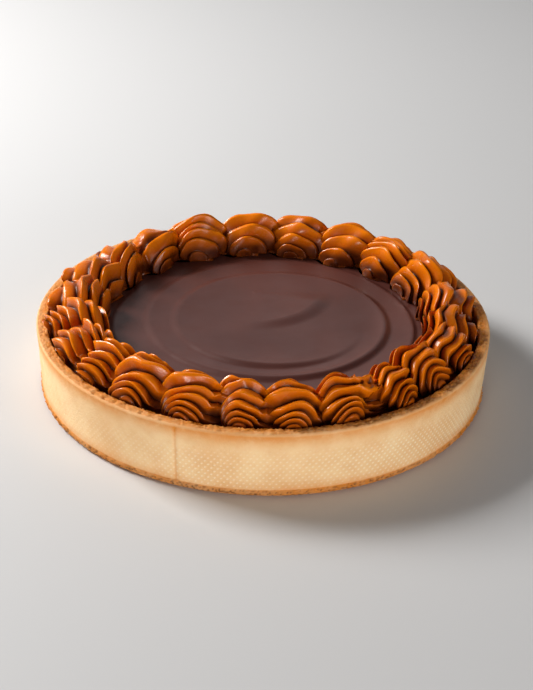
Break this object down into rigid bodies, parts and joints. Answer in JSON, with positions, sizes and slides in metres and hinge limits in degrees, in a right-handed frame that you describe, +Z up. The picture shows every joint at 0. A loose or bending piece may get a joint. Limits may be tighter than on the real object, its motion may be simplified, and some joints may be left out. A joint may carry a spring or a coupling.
{
  "type": "chocolate tart",
  "caption": "Whole round chocolate tart: straight-sided shortcrust cup filled with swirled dark ganache and bordered by a ring of piped caramel shells.",
  "frame": {"origin": "centre of the base on the surface it stands on", "axes": "+Z up through the middle of the tart, -Y toward the side that the picture shows in front"},
  "size_m": [0.232, 0.232, 0.0507],
  "materials": {
    "shortcrust": "baked, dry and grainy",
    "ganache": "satin, swirled by a spatula",
    "caramel": "glossy and ridged by the nozzle"
  },
  "bodies": {
    "root": {"crust": "shortcrust", "ganache": "ganache", "shell_01": "caramel", "shell_02": "caramel", "shell_03": "caramel", "shell_04": "caramel", "shell_05": "caramel", "shell_06": "caramel", "shell_07": "caramel", "shell_08": "caramel", "shell_09": "caramel", "shell_10": "caramel", "shell_11": "caramel", "shell_12": "caramel", "shell_13": "caramel", "shell_14": "caramel", "shell_15": "caramel", "shell_16": "caramel", "shell_17": "caramel", "shell_18": "caramel", "shell_19": "caramel", "shell_20": "caramel", "shell_21": "caramel", "shell_22": "caramel", "shell_23": "caramel"}
  },
  "joints": []
}
